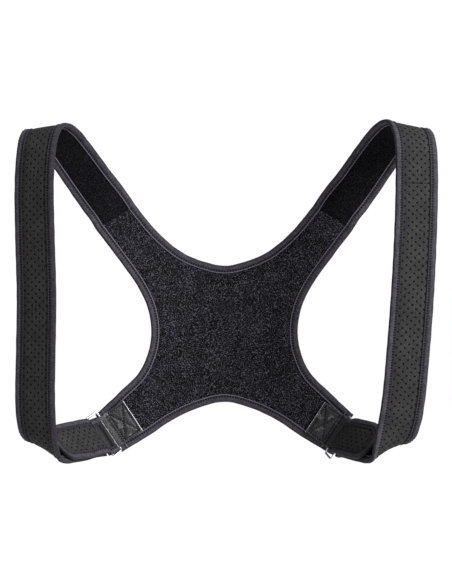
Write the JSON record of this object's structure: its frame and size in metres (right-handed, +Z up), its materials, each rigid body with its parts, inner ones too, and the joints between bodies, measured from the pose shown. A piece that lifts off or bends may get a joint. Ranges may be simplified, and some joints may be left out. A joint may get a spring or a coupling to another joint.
{
  "type": "posture corrector",
  "caption": "Padded posture corrector in its worn form: a four-armed back panel, shoulder straps that pass under the arms, and metal rings held by tabs.",
  "frame": {"origin": "centre of the back panel's inner face, where it lies on the wearer's back", "axes": "+Z up as worn; +X across the shoulders, so that left in a node's name is -X; -Y the way the wearer faces, with the shoulder straps in front of the panel"},
  "size_m": [0.4365, 0.1348, 0.3616],
  "materials": {
    "lining": "black looped plush with grey flecks",
    "strap": "matt charcoal perforated padded cloth",
    "binding": "matt charcoal woven tape",
    "leatherette": "semi-gloss black grained leatherette",
    "nickel": "bright nickel plate"
  },
  "bodies": {
    "root": {"back_panel": "lining", "binding_neck": "binding", "binding_bottom": "binding", "binding_side_left": "binding", "binding_side_right": "binding", "binding_end_left": "binding", "binding_end_right": "binding", "shoulder_strap_left": "strap", "shoulder_strap_right": "strap", "binding_strap_left": "binding", "binding_strap_right": "binding", "tab_left": "leatherette", "tab_right": "leatherette", "ring_left": "nickel", "ring_right": "nickel"}
  },
  "joints": []
}
